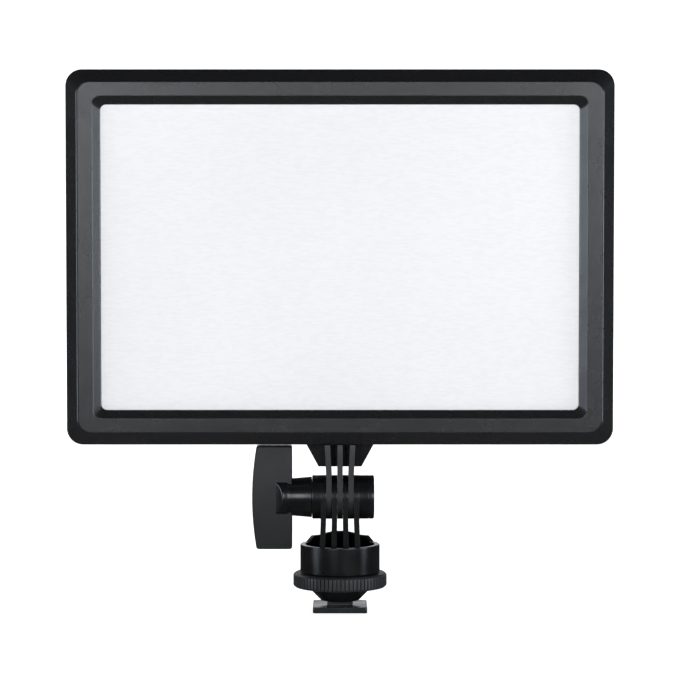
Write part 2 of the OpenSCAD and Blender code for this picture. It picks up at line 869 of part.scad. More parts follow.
// Sliding catch in the plate: a ribbed thumb piece and the tongue that the spring pushes up.
module battery_latch() {
    low = latch_z - latch_h / 2;
    color("#4a4a4c") union() {
        block([-latch_w / 2, pocket_y + 0.2, low], [latch_w / 2, plate_y + 1.2, low + latch_h]);
        for (i = [0:2])
            block([-latch_w / 2 + 1, plate_y + 1.1, low + 1.2 + 1.5 * i],
                [latch_w / 2 - 1, plate_y + 1.8, low + 1.9 + 1.5 * i]);
        block([-3, pocket_y - 3, low + 1], [3, pocket_y + 0.3, low + latch_h - 1]);
    }
}

// Compression spring under the latch's tongue.
module latch_spring() {
    steps = 12;
    sides = 6;
    rings = spring_turns * steps;
    y = pocket_y - 1.7;
    z0 = latch_z - latch_h / 2 + 1 - spring_h;
    points = [for (i = [0:rings], j = [0:sides - 1])
        let (a = 360 * i / steps, b = 360 * j / sides,
            r = spring_r + spring_wire / 2 * cos(b))
        [r * cos(a), y + r * sin(a),
            z0 + spring_wire / 2 + (spring_h - spring_wire) * i / rings
                + spring_wire / 2 * sin(b)]];
    faces = concat(
        [[for (j = [0:sides - 1]) j]],
        [for (i = [0:rings - 1], j = [0:sides - 1])
            [i * sides + j, (i + 1) * sides + j, (i + 1) * sides + (j + 1) % sides,
                i * sides + (j + 1) % sides]],
        [[for (j = [sides - 1:-1:0]) rings * sides + j]]);
    color("silver") polyhedron(points, faces, convexity = 8);
}

module indicator_lenses() {
    color("lightgreen") for (x = lamp_places)
        rod_y(x, lamp_z, housing_inner_y - 0.8, housing_y + 0.2, lamp_r);
}

// ---- Nodes ---------------------------------------------------------------------------------------

shoe_foot();
tripod_insert();
lower_bracket();
tilt_bolt();
bolt_cap();
clamp_washer();
lock_wheel();
wheel_insert();
knob_washer();
tilt_knob();
knob_insert();
tilt_bracket();
bracket_screws();
front_bezel();
diffuser_sheet();
light_guide();
reflector_sheet();
heat_spreader();
led_strip_left();
led_strip_right();
daylight_leds();
tungsten_leds();
strip_leads();
foam_strips();
rear_cover();
case_screws();
driver_board();
board_components();
board_screws();
potentiometers();
switch_body();
dc_jack();
battery_plate();
plate_screws();
battery_contacts();
battery_latch();
latch_spring();
indicator_lenses();
brightness_dial();
brightness_shaft();
colour_dial();
colour_shaft();
power_switch();
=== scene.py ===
"""Looks of the flat LED panel light: finished meshes, materials, light and camera.

Everything is in metres in the shared frame: +Z up, the window faces -Y. Shape details are written in
millimetres and turned into metres by MM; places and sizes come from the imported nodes.
"""

import json
import math

import bmesh
import bpy
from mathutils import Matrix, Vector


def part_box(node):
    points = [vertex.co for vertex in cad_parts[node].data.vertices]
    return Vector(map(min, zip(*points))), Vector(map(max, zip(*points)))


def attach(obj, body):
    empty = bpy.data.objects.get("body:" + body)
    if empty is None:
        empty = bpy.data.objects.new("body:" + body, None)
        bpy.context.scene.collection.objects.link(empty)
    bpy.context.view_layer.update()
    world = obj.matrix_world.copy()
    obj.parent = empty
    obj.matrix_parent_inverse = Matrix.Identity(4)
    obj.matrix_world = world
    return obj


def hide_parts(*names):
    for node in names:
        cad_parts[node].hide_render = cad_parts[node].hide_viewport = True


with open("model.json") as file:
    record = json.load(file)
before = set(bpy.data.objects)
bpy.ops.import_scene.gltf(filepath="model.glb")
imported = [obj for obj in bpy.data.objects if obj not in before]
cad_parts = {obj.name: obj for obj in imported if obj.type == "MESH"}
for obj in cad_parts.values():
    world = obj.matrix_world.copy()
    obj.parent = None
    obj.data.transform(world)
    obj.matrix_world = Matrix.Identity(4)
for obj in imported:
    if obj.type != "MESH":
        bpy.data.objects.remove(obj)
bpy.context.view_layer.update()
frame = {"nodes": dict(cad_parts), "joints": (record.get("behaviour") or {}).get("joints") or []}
nodes = frame["nodes"]

MM = 0.001
SHARP = math.radians(32)


def span(node):
    """Lowest and highest corners of a CAD node, in millimetres."""
    low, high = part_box(node)
    return [v / MM for v in low], [v / MM for v in high]


# ---- Measures from the frame, in millimetres ------------------------------------------------------

BEZEL_LOW, BEZEL_HIGH = span("front_bezel")
PANEL_W = BEZEL_HIGH[0] - BEZEL_LOW[0]
PANEL_H = BEZEL_HIGH[2] - BEZEL_LOW[2]
MID_Z = (BEZEL_HIGH[2] + BEZEL_LOW[2]) / 2
BAND_Y = BEZEL_LOW[1]
SPLIT_Y = BEZEL_HIGH[1]
AXIS_Z = frame["joints"][0]["pos_m"][2] / MM
DISC_R = 7.5
FIN_T = 1.86
FIN_PITCH = 1.88
ON_AXIS = 1e-5


# ---- Mesh helpers ---------------------------------------------------------------------------------


def weigh_normals(obj):
    """Weights the normals by face area, so that flat faces stay flat beside narrow edge roundings."""
    obj.modifiers.new("weighted", "WEIGHTED_NORMAL").keep_sharp = True
    evaluated = obj.evaluated_get(bpy.context.evaluated_depsgraph_get())
    obj.data = bpy.data.meshes.new_from_object(evaluated)
    obj.modifiers.clear()


def piece(name, verts, faces, materials, body, replaces=(), face_mats=None, merge=1e-7):
    """Makes an object from points in millimetres, tidies its mesh and puts it on its CAD body."""
    mesh = bpy.data.meshes.new(name)
    mesh.from_pydata([(x * MM, y * MM, z * MM) for x, y, z in verts], [], faces)
    for material in materials:
        mesh.materials.append(material)
    if face_mats:
        for polygon, index in zip(mesh.polygons, face_mats):
            polygon.material_index = index
    work = bmesh.new()
    work.from_mesh(mesh)
    bmesh.ops.remove_doubles(work, verts=work.verts, dist=merge)
    bmesh.ops.dissolve_degenerate(work, edges=work.edges, dist=merge)
    bmesh.ops.recalc_face_normals(work, faces=work.faces)
    work.to_mesh(mesh)
    work.free()
    mesh.shade_smooth()
    mesh.set_sharp_from_angle(angle=SHARP)
    obj = bpy.data.objects.new(name, mesh)
    bpy.context.scene.collection.objects.link(obj)
    weigh_normals(obj)
    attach(obj, body)
    if replaces:
        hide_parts(*replaces)
    return obj


def loft(rings, cyclic=False, caps=(True, True)):
    """Skins closed rings of equal length. Returns points and faces, with end caps if asked."""
    count = len(rings[0])
    verts = [p for ring in rings for p in ring]
    faces = []
    last = len(rings) if cyclic else len(rings) - 1
    for i in range(last):
        j = (i + 1) % len(rings)
        for k in range(count):
            m = (k + 1) % count
            faces.append((i * count + k, i * count + m, j * count + m, j * count + k))
    if not cyclic and caps[0]:
        faces.append(tuple(range(count)))
    if not cyclic and caps[1]:
        faces.append(tuple((len(rings) - 1) * count + k for k in reversed(range(count))))
    return verts, faces


def join(*parts):
    """Joins several (points, faces) pairs into one."""
    verts, faces = [], []
    for more_verts, more_faces in parts:
        start = len(verts)
        verts += more_verts
        faces += [tuple(i + start for i in face) for face in more_faces]
    return verts, faces


def rounded(w, h, r, steps=8):
    """Points of a rounded rectangle about the origin."""
    points = []
    for cx, cy, start in ((1, 1, 0), (-1, 1, 90), (-1, -1, 180), (1, -1, 270)):
        for i in range(steps + 1):
            a = math.radians(start + 90 * i / steps)
            points.append((cx * (w / 2 - r) + r * math.cos(a), cy * (h / 2 - r) + r * math.sin(a)))
    return points


def panel_ring(inset, y, r, steps=8):
    """Rounded rectangle in the panel's plane, inset from the panel's outline."""
    outline = rounded(PANEL_W - 2 * inset, PANEL_H - 2 * inset, r, steps)
    return [(x, y, MID_Z + z) for x, z in outline]


def circle(axis, centre, along, r, count):
    """Ring of points about an axis ("x", "y" or "z") through centre, at a place along it."""
    points = []
    for k in range(count):
        a = 2 * math.pi * k / count
        c, s = r * math.cos(a), r * math.sin(a)
        if axis == "x":
            points.append((along, centre[0] + c, centre[1] + s))
        elif axis == "y":
            points.append((centre[0] + c, along, centre[1] + s))
        else:
            points.append((centre[0] + c, centre[1] + s, along))
    return points


def lathe(axis, centre, profile, count=96, cyclic=False):
    """Turned body from a profile of (place along the axis, radius)."""
    rings = [circle(axis, centre, along, max(r, ON_AXIS), count) for along, r in profile]
    return loft(rings, cyclic=cyclic)


def fillet(a, corner, b, r):
    """Points that round a corner of a profile between the directions to a and b."""
    steps = 4

    def unit(p, q):
        """Direction from p to q."""
        d = math.hypot(q[0] - p[0], q[1] - p[1])
        return ((q[0] - p[0]) / d, (q[1] - p[1]) / d)

    u, v = unit(corner, a), unit(corner, b)
    start = (corner[0] + u[0] * r, corner[1] + u[1] * r)
    end = (corner[0] + v[0] * r, corner[1] + v[1] * r)
    points = []
    for i in range(steps + 1):
        t = i / steps
        x = (1 - t) ** 2 * start[0] + 2 * t * (1 - t) * corner[0] + t**2 * end[0]
        y = (1 - t) ** 2 * start[1] + 2 * t * (1 - t) * corner[1] + t**2 * end[1]
        points.append((x, y))
    return points


def soften(points):
    """Profile with rounded corners, from a list of (a, b, radius); the ends have a radius of 0."""
    out = []
    for i, (a, b, r) in enumerate(points):
        if r > 0:
            out += fillet(points[i - 1][:2], (a, b), points[i + 1][:2], r)
        else:
            out.append((a, b))
    return out


# ---- Materials ------------------------------------------------------------------------------------


def material(name):
    """New node material and its Principled shader."""
    made = bpy.data.materials.new(name)
    made.use_nodes = True
    return made, made.node_tree, made.node_tree.nodes["Principled BSDF"]


def noise(tree, scale, detail=3.0, rough=0.55, stretch=None):
    """Noise texture on object coordinates; stretch scales each axis."""
    coords = tree.nodes.new("ShaderNodeTexCoord")
    texture = tree.nodes.new("ShaderNodeTexNoise")
    texture.inputs["Scale"].default_value = scale
    texture.inputs["Detail"].default_value = detail
    texture.inputs["Roughness"].default_value = rough
    source = coords.outputs["Object"]
    if stretch:
        mapping = tree.nodes.new("ShaderNodeMapping")
        mapping.inputs["Scale"].default_value = stretch
        tree.links.new(source, mapping.inputs["Vector"])
        source = mapping.outputs["Vector"]
    tree.links.new(source, texture.inputs["Vector"])
    return texture.outputs["Fac"]


def spread(tree, source, low, high, start=0.3, end=0.7):
    """Maps a noise value onto a range."""
    node = tree.nodes.new("ShaderNodeMapRange")
    node.inputs["From Min"].default_value = start
    node.inputs["From Max"].default_value = end
    node.inputs["To Min"].default_value = low
    node.inputs["To Max"].default_value = high
    tree.links.new(source, node.inputs["Value"])
    return node.outputs["Result"]


def tint(tree, source, low, high, start=0.3, end=0.7):
    """Colour that runs from low to high with a value."""
    ramp = tree.nodes.new("ShaderNodeValToRGB")
    ramp.color_ramp.elements[0].position = start
    ramp.color_ramp.elements[0].color = (*low, 1)
    ramp.color_ramp.elements[1].position = end
    ramp.color_ramp.elements[1].color = (*high, 1)
    tree.links.new(source, ramp.inputs["Fac"])
    return ramp.outputs["Color"]


def bump(tree, shader, source, strength, distance, before=None):
    """Adds a bump on top of an earlier one."""
    node = tree.nodes.new("ShaderNodeBump")
    node.inputs["Strength"].default_value = strength
    node.inputs["Distance"].default_value = distance
    tree.links.new(source, node.inputs["Height"])
    if before:
        tree.links.new(before, node.inputs["Normal"])
    tree.links.new(node.outputs["Normal"], shader.inputs["Normal"])
    return node.outputs["Normal"]


def plastic(name, dark, light, rough, grain_mm, grain_depth, specular=0.5, pale_edges=0.0):
    """Moulded plastic: grain of a given size, colour mottling, uneven gloss and paler convex edges."""
    made, tree, shader = material(name)
    fine = noise(tree, 1 / (grain_mm * MM), 2.0, 0.6)
    broad = noise(tree, 90, 4.0)
    colour = tint(tree, fine, dark, light)
    if pale_edges:
        # Pales the colour on convex edges, found by pointiness, by the amount given.
        geometry = tree.nodes.new("ShaderNodeNewGeometry")
        edge = spread(tree, geometry.outputs["Pointiness"], 0, pale_edges, 0.52, 0.60)
        mix = tree.nodes.new("ShaderNodeMix")
        mix.data_type = "RGBA"
        mix.inputs["B"].default_value = (*[min(1, c * 4 + 0.01) for c in light], 1)
        tree.links.new(edge, mix.inputs["Factor"])
        tree.links.new(colour, mix.inputs["A"])
        colour = mix.outputs["Result"]
    tree.links.new(colour, shader.inputs["Base Color"])
    tree.links.new(spread(tree, broad, rough - 0.04, rough + 0.05), shader.inputs["Roughness"])
    shader.inputs["Specular IOR Level"].default_value = specular
    first = bump(tree, shader, fine, 0.6, grain_depth * MM)
    bump(tree, shader, noise(tree, 35, 2.0), 0.15, 0.02 * MM, first)
    return made


def metal(name, dark, light, rough, stretch=(1, 1, 1)):
    """Metal with fine lines or grain and uneven gloss."""
    made, tree, shader = material(name)
    lines = noise(tree, 2500, 3.0, 0.6, stretch)
    tree.links.new(tint(tree, lines, dark, light), shader.inputs["Base Color"])
    tree.links.new(spread(tree, lines, rough - 0.08, rough + 0.08), shader.inputs["Roughness"])
    shader.inputs["Metallic"].default_value = 1.0
    bump(tree, shader, lines, 0.25, 0.01 * MM)
    return made


def opal():
    """White diffuser: faint horizontal prism lines, a fine dot grain and a few specks."""
    made, tree, shader = material("opal_acrylic")
    lines = noise(tree, 1000, 1.0, 0.5, (0.35, 1, 1.6))
    dots = noise(tree, 2600, 1.0)
    cloud = noise(tree, 9, 2.0)
    specks = noise(tree, 420, 0.0)
    colour = tint(tree, cloud, (0.645, 0.632, 0.625), (0.680, 0.665, 0.658))
    veil = tree.nodes.new("ShaderNodeMix")
    veil.data_type = "RGBA"
    veil.blend_type = "MULTIPLY"
    veil.inputs["Factor"].default_value = 1.0
    tree.links.new(colour, veil.inputs["A"])
    tree.links.new(tint(tree, lines, (0.955, 0.96, 0.965), (1, 1, 1), 0.35, 0.6), veil.inputs["B"])
    fleck = tree.nodes.new("ShaderNodeMix")
    fleck.data_type = "RGBA"
    fleck.inputs["B"].default_value = (0.62, 0.63, 0.65, 1)
    tree.links.new(spread(tree, specks, 0, 0.6, 0.80, 0.86), fleck.inputs["Factor"])
    tree.links.new(veil.outputs["Result"], fleck.inputs["A"])
    tree.links.new(fleck.outputs["Result"], shader.inputs["Base Color"])
    tree.links.new(spread(tree, dots, 0.38, 0.5), shader.inputs["Roughness"])
    shader.inputs["Specular IOR Level"].default_value = 0.4
    first = bump(tree, shader, lines, 0.25, 0.02 * MM)
    bump(tree, shader, dots, 0.25, 0.01 * MM, first)
    return made


def clear(name, colour, rough):
    """Clear or tinted acrylic."""
    made, tree, shader = material(name)
    cloud = noise(tree, 120, 2.0)
    tree.links.new(tint(tree, cloud, colour, [min(1, c * 1.04) for c in colour]),
                   shader.inputs["Base Color"])
    tree.links.new(spread(tree, cloud, rough, rough + 0.06), shader.inputs["Roughness"])
    shader.inputs["Transmission Weight"].default_value = 0.9
    shader.inputs["IOR"].default_value = 1.49
    return made


case_band = plastic("case_textured", (0.0085, 0.0085, 0.0090), (0.0140, 0.0140, 0.0145), 0.25, 0.16,
                    0.05)
case_smooth = plastic("case_smooth", (0.0080, 0.0080, 0.0084), (0.0105, 0.0105, 0.0110), 0.26, 0.30,
                      0.008)
case_back = plastic("case_back", (0.0100, 0.0100, 0.0105), (0.0160, 0.0160, 0.0170), 0.48, 0.20, 0.06,
                    pale_edges=0.35)
hinge_black = plastic("hinge_nylon", (0.0035, 0.0035, 0.0037), (0.0050, 0.0050, 0.0053), 0.20, 0.40,
                      0.012, pale_edges=0.15)
fin_black = plastic("fin_nylon", (0.0080, 0.0080, 0.0085), (0.0120, 0.0120, 0.0125), 0.36, 0.30, 0.02,
                    pale_edges=0.3)
wheel_black = plastic("wheel_nylon", (0.0090, 0.0090, 0.0095), (0.0150, 0.0150, 0.0160), 0.40, 0.25,
                      0.02, pale_edges=0.3)
knob_black = plastic("knob_nylon", (0.0090, 0.0090, 0.0098), (0.0170, 0.0170, 0.0180), 0.46, 0.18, 0.05,
                     specular=0.3)
foot_black = plastic("foot_enamel", (0.0060, 0.0060, 0.0065), (0.0090, 0.0090, 0.0098), 0.23, 0.25,
                     0.015, pale_edges=0.4)
control_grey = plastic("control_plastic", (0.030, 0.030, 0.032), (0.048, 0.048, 0.052), 0.42, 0.20,
                       0.04, pale_edges=0.3)
mark_white = plastic("printed_white", (0.70, 0.70, 0.70), (0.80, 0.80, 0.80), 0.55, 0.20, 0.01)
opal_white = opal()
steel = metal("zinc_steel", (0.42, 0.43, 0.45), (0.62, 0.63, 0.65), 0.32)
dark_steel = metal("black_steel", (0.04, 0.04, 0.045), (0.08, 0.08, 0.085), 0.38)
brass = metal("brass", (0.62, 0.44, 0.17), (0.84, 0.64, 0.30), 0.28)
gold = metal("contact_gold", (0.80, 0.56, 0.20), (0.95, 0.75, 0.36), 0.22)
aluminium = metal("rolled_aluminium", (0.60, 0.61, 0.62), (0.78, 0.79, 0.80), 0.35, (0.1, 1, 1))
board_green = plastic("solder_mask", (0.010, 0.10, 0.045), (0.018, 0.15, 0.07), 0.35, 0.8, 0.02)
package = plastic("moulded_package", (0.020, 0.020, 0.022), (0.035, 0.035, 0.038), 0.45, 0.2, 0.02)
film_white = plastic("reflector_film", (0.78, 0.78, 0.79), (0.85, 0.85, 0.86), 0.40, 0.5, 0.01)
lead_white = plastic("lead_insulation", (0.66, 0.65, 0.60), (0.78, 0.77, 0.72), 0.45, 0.4, 0.01)
foam_grey = plastic("foam", (0.02, 0.02, 0.02), (0.06, 0.06, 0.06), 0.9, 0.3, 0.2)
daylight_yellow = plastic("daylight_phosphor", (0.80, 0.68, 0.22), (0.92, 0.80, 0.34), 0.4, 0.3, 0.02)
tungsten_orange = plastic("tungsten_phosphor", (0.80, 0.38, 0.08), (0.92, 0.48, 0.14), 0.4, 0.3, 0.02)
clear_acrylic = clear("clear_acrylic", (0.93, 0.96, 0.97), 0.04)
lens_green = clear("lens_tint", (0.45, 0.80, 0.52), 0.18)


# ---- Panel front ----------------------------------------------------------------------------------


def front_bezel():
    """Frame: sloping rim, a small step, the flat textured band and the bevel around the window."""
    smooth, textured = 0, 1
    sheet_low, sheet_high = span("diffuser_sheet")
    lip_cover = 2.0
    window = (PANEL_W - (sheet_high[0] - sheet_low[0])) / 2 + lip_cover
    lip_y = sheet_low[1]
    # (inset from the outline, depth, corner radius, surface), from the split line round to the inside
    profile = [
        (0.00, SPLIT_Y, 5.5, smooth),
        (0.00, BAND_Y + 5.60, 5.5, smooth),
        (0.05, BAND_Y + 5.38, 5.5, smooth),
        (0.17, BAND_Y + 5.18, 5.45, smooth),
        (0.30, BAND_Y + 5.02, 5.4, smooth),
        (2.00, BAND_Y + 2.99, 5.1, smooth),
        (3.70, BAND_Y + 0.96, 4.75, smooth),
        (3.83, BAND_Y + 0.80, 4.7, smooth),
        (4.02, BAND_Y + 0.60, 4.6, smooth),
        (4.18, BAND_Y + 0.52, 4.5, smooth),
        (4.30, BAND_Y + 0.42, 4.45, smooth),
        (4.36, BAND_Y + 0.24, 4.4, smooth),
        (4.44, BAND_Y + 0.08, 4.35, smooth),
        (4.62, BAND_Y, 4.3, textured),
        (4.72, BAND_Y, 4.3, textured),
        (6.90, BAND_Y, 3.7, textured),
        (9.05, BAND_Y, 3.2, textured),
        (9.15, BAND_Y, 3.2, textured),
        (9.33, BAND_Y + 0.04, 3.1, smooth),
        (9.50, BAND_Y + 0.17, 3.0, smooth),
        (9.62, BAND_Y + 0.29, 2.9, smooth),
        (window - 0.34, BAND_Y + 1.74, 2.15, smooth),
        (window - 0.22, BAND_Y + 1.86, 2.1, smooth),
        (window - 0.08, BAND_Y + 1.97, 2.05, smooth),
        (window, BAND_Y + 2.12, 2.0, smooth),
        (window, lip_y, 2.0, smooth),
        (4.30, lip_y, 3.0, smooth),
        (4.30, SPLIT_Y, 3.0, smooth),
    ]
    rings = [panel_ring(inset, y, r, 10) for inset, y, r, _ in profile]
    verts, faces = loft(rings, cyclic=True)
    per_ring = len(rings[0])
    mats = [profile[i // per_ring][3] for i in range(len(faces))]
    piece("front_bezel_shell", verts, faces, [case_smooth, case_band], "head", ["front_bezel"],
          mats)


# ---- Hinge ----------------------------------------------------------------------------------------


def fin(x0, x1, z_end):
    """One hinge fin: round end about the tilt axis, stem bent from x0 at the disc to x1 at z_end."""
    r, half, edge = DISC_R, FIN_T / 2, 0.16
    side = 1 if z_end > AXIS_Z else -1
    bend_z = AXIS_Z + side * r
    soft = 1.0

    def row(inset):
        """Front outline, as (distance from the middle plane, height), from the disc to the end."""
        rows = []
        for i in range(17):
            a = math.pi / 2 * i / 16
            rows.append(((r - inset) * math.sin(a), AXIS_Z - side * (r - inset) * math.cos(a)))
        for z in (AXIS_Z + side * r * 0.5, bend_z - side * soft, bend_z, bend_z + side * soft):
            rows.append((r - inset, z))
        for i in range(1, 5):
            rows.append((r - inset, bend_z + (z_end - bend_z) * i / 4))
        return sorted(set(rows), key=lambda p: side * p[1])

    def shift(z):
        """Sideways place of the fin at a height, with a soft bend where the stem starts."""
        out = side * (z - bend_z)
        length = side * (z_end - bend_z)
        if out <= -soft:
            return x0
        slope = (x1 - x0) / length
        if out < soft:
            return x0 + slope * (out + soft) ** 2 / (4 * soft)
        return x0 + slope * out

    section = [(edge, -half), (edge * 0.3, -half + edge * 0.3), (0, -half + edge),
               (0, half - edge), (edge * 0.3, half - edge * 0.3), (edge, half)]
    rings = []
    for inset, x in section:
        rows = row(inset)
        ring = [(shift(z) + x, y, z) for y, z in rows]
        ring += [(shift(z) + x, -y, z) for y, z in reversed(rows)]
        rings.append(ring)
    verts, faces = loft(rings, caps=(False, False))
    count = len(rings[0])
    for start in (0, (len(rings) - 1) * count):
        for i in range(count // 2 - 1):
            left = count - 1 - i
            faces.append((start + i, start + i + 1, start + left - 1, start + left))
    return verts, faces


def tilt_bracket():
    """Upper bracket: three fins, a tapering web and the flange let into the panel's underside."""
    low, high = span("tilt_bracket")
    top = BEZEL_LOW[2] - 0.1
    fin_end_x = 4.3
    fins = [fin(s * 2 * FIN_PITCH, s * fin_end_x, top) for s in (-1, 0, 1)]
    edge, web_t, web_mid_z = 0.35, 3, top - 4
    outline = [(-11.9, top + 0.3), (11.9, top + 0.3), (7.35, top - 8), (-7.35, top - 8)]

    def web_ring(y, inset):
        """Outline of the web at a depth, drawn in by inset on every side."""
        return [(x - math.copysign(inset, x), y, z - math.copysign(inset, z - web_mid_z))
                for x, z in outline]

    web = loft([web_ring(0, edge), web_ring(edge * 0.3, edge * 0.3), web_ring(edge, 0),
                web_ring(web_t - edge, 0), web_ring(web_t - edge * 0.3, edge * 0.3),
                web_ring(web_t, edge)])
    width, depth = high[0] - low[0], 7.6
    flange = [[(x, y, z) for x, y in rounded(width - 2 * i, depth - 2 * i, 0.6)]
              for z, i in ((top - 0.1, 0.2), (top + 0.1, 0), (high[2], 0))]
    verts, faces = join(*fins, web, loft(flange))
    fin_faces = sum(len(part_faces) for _, part_faces in fins)
    # Fins, web and flange are one moulding, but the web and flange take the darker, smoother hinge
    # nylon. Their darker colour is painted shade, because they sit behind the fins and under the panel.
    mats = [0] * fin_faces + [1] * (len(faces) - fin_faces)
    piece("tilt_bracket_body", verts, faces, [fin_black, hinge_black], "head", ["tilt_bracket"],
          mats, merge=1e-9)


# Height of the cup's wall above its front rim, by distance from the middle of the raised rear part
REAR_STEPS = [(0, 2.9), (2.2, 2.9), (5.3, 2.3), (5.9, 1.8), (10.0, 1.8), (11.8, 0)]


def rear_rise(x, y):
    """Extra height of the cup's wall: a raised part at the rear with sloping ends."""
    if y <= 0:
        return 0
    for (x0, h0), (x1, h1) in zip(REAR_STEPS, REAR_STEPS[1:]):
        if abs(x) <= x1:
            return h0 + (h1 - h0) * (abs(x) - x0) / (x1 - x0)
    return 0


def cup():
    """Cup with a rounded rim whose rear part stands higher."""
    bottom, rim, floor = 13.05, 22.7, 17.0
    outer, inner = 13.6, 11.7
    profile = soften([
        (0, bottom, 0), (outer, bottom, 0.55), (outer, rim, 0.35), (inner, rim, 0.35),
        (inner, floor, 0.6), (0, floor, 0)])
    count = 240
    corners = [math.acos(side * x / outer) for x, _ in REAR_STEPS[1:] for side in (-1, 1)]
    angles = sorted([2 * math.pi * k / count for k in range(count)] + corners)
    rings = []
    for r, z in profile:
        ring = []
        for a in angles:
            x, y = r * math.cos(a), r * math.sin(a)
            lift = rear_rise(outer * math.cos(a), y) if z > rim - 1 else 0
            ring.append((x, y, z + lift))
        rings.append(ring)
    return loft(rings, caps=(False, False))


def lower_bracket():
    """Cup, four fins that stand in it and the two bosses of the hinge, moulded in one."""
    r, foot_z = DISC_R, 16.5
    parts = [cup()]
    for s in (-1, 1):
        parts.append(fin(s * FIN_PITCH, s * 2.15, foot_z))
        parts.append(fin(s * 3 * FIN_PITCH, s * 6.2, foot_z))
    centre = (0, AXIS_Z)
    left = soften([(-6.3, 2.6, 0), (-6.3, r - 0.04, 0.1), (-9.5, r - 0.04, 0.25), (-9.5, 5.6, 0.2),
                   (-8.3, 5.6, 0), (-8.3, 2.6, 0)])
    right = soften([(6.3, 2.6, 0), (6.3, r - 0.04, 0.1), (9.88, r - 0.04, 0.22), (9.88, 4.8, 0),
                    (6.5, 4.8, 0), (6.5, 2.6, 0)])
    parts.append(lathe("x", centre, left, cyclic=True))
    parts.append(lathe("x", centre, right, cyclic=True))
    verts, faces = join(*parts)
    piece("lower_bracket_body", verts, faces, [hinge_black], "mount", ["lower_bracket"],
          merge=1e-9)


def bolt_cap():
    """Slightly domed cap that closes the captive bolt head's pocket."""
    r = 7.46
    verts, faces = lathe("x", (0, AXIS_Z), [
        (9.4, ON_AXIS), (9.4, 3.8), (9.92, 3.8), (9.92, r - 0.2), (10.0, r), (11.2, r), (11.45, r - 0.1),
        (11.6, r - 0.35), (11.68, r - 0.8), (11.72, 4), (11.75, ON_AXIS)])
    piece("bolt_cap_domed", verts, faces, [hinge_black], "mount", ["bolt_cap"])


# ---- Knob -----------------------------------------------------------------------------------------


def wing():
    """Wing of the knob: bowed outer edge, flat inner edge, thinner towards the ends."""
    half, left, right = 17.7, -30.0, -16.4
    bow, mid_half_t, edge = 105.0, 4.5, 0.6

    def level(z, inset):
        """Cross-section at a height above the tilt axis."""
        left_x = left + bow - math.sqrt(bow**2 - z**2) + inset
        thick = 2 * (math.sqrt(bow**2 - z**2) - bow + mid_half_t) - 2 * inset
        right_x = right - inset
        outline = rounded(right_x - left_x, thick, 0.8)
        return [((left_x + right_x) / 2 + x, y, AXIS_Z + z) for x, y in outline]

    rings = [level(-half + edge * (1 - math.cos(a)), edge * (1 - math.sin(a)))
             for a in (math.pi / 2 * i / 4 for i in range(5))]
    steps = 24
    for i in range(1, steps):
        rings.append(level(-half + edge + (2 * half - 2 * edge) * i / steps, 0))
    rings += [level(half - edge * (1 - math.cos(a)), edge * (1 - math.sin(a)))
              for a in (math.pi / 2 * (4 - i) / 4 for i in range(5))]
    return loft(rings)


def hub():
    """Hub of the knob: a cone at the hinge, two small steps, and two sloping facets at the wing."""
    count, r, edge = 96, 6.95, 0.3
    cylinder_x, facet_x, facet_y, slope, flat_y = -18.2, -21.75, 4.5, 0.94, 3.9

    def end_x(y):
        """Place of the sloping end at a distance from the middle plane."""
        return facet_x + (abs(y) - facet_y) * slope

    def ring(radius, place):
        """Ring of points whose places along the axis are given by place(y)."""
        points = []
        for k in range(count):
            a = 2 * math.pi * k / count
            y, z = radius * math.cos(a), radius * math.sin(a)
            points.append((place(y), y, AXIS_Z + z))
        return points

    turned = [(-9.9, 2.6), (-9.6, r - 0.5), (-9.66, r - 0.12), (-9.9, r), (-13.3, r - 0.3),
              (-16.78, 6.36), (-16.86, 6.4), (-16.95, 6.58), (-17.08, 6.64), (-17.68, 6.64),
              (-17.8, 6.68), (-17.9, 6.84), (-18.02, r), (cylinder_x, r)]
    rings = [ring(radius, lambda y, x=x: x) for x, radius in turned]
    for radius, back in ((r, edge), (r - 0.08, 0.09), (r - 0.25, 0)):
        rings.append(ring(radius, lambda y, back=back: min(cylinder_x, end_x(y) + back)))
    inner = [(max(-flat_y, min(flat_y, y)), z) for _, y, z in ring(r - 0.25, lambda y: 0)]
    rings.append([(end_x(y), y, z) for y, z in inner])
    return loft(rings, caps=(False, True))


def tilt_knob():
    """Wing knob: the grained wing and the smoother hub, moulded in one."""
    wing_body, hub_body = wing(), hub()
    verts, faces = join(wing_body, hub_body)
    mats = [0] * len(wing_body[1]) + [1] * len(hub_body[1])
    piece("tilt_knob_wing", verts, faces, [knob_black, hinge_black], "knob", ["tilt_knob"],
          mats, merge=1e-9)


# ---- Lock wheel, cone and foot --------------------------------------------------------------------


def knurl_radius(a, r, ribs, depth):
    """Radius of a ribbed outline at an angle: round-topped ribs with narrow grooves."""
    t = (a * ribs / (2 * math.pi)) % 1
    groove = 0.36
    if t < groove:
        return r - depth * math.sin(math.pi * t / groove) ** 0.7
    return r


def ribbed(axis, centre, levels, ribs, depth):
    """Rings of a ribbed body from levels of (place along the axis, radius limit, ribs cut or not)."""
    points_per_rib = 8
    count = ribs * points_per_rib
    full_r = max(limit for _, limit, _ in levels)
    rings = []
    for along, limit, cut in levels:
        ring = []
        for k in range(count):
            a = 2 * math.pi * k / count
            r = min(limit, knurl_radius(a, full_r, ribs, depth)) if cut else limit
            c, s = r * math.cos(a), r * math.sin(a)
            if axis == "z":
                ring.append((centre[0] + c, centre[1] + s, along))
            else:
                ring.append((centre[0] + c, along, centre[1] + s))
        rings.append(ring)
    return rings


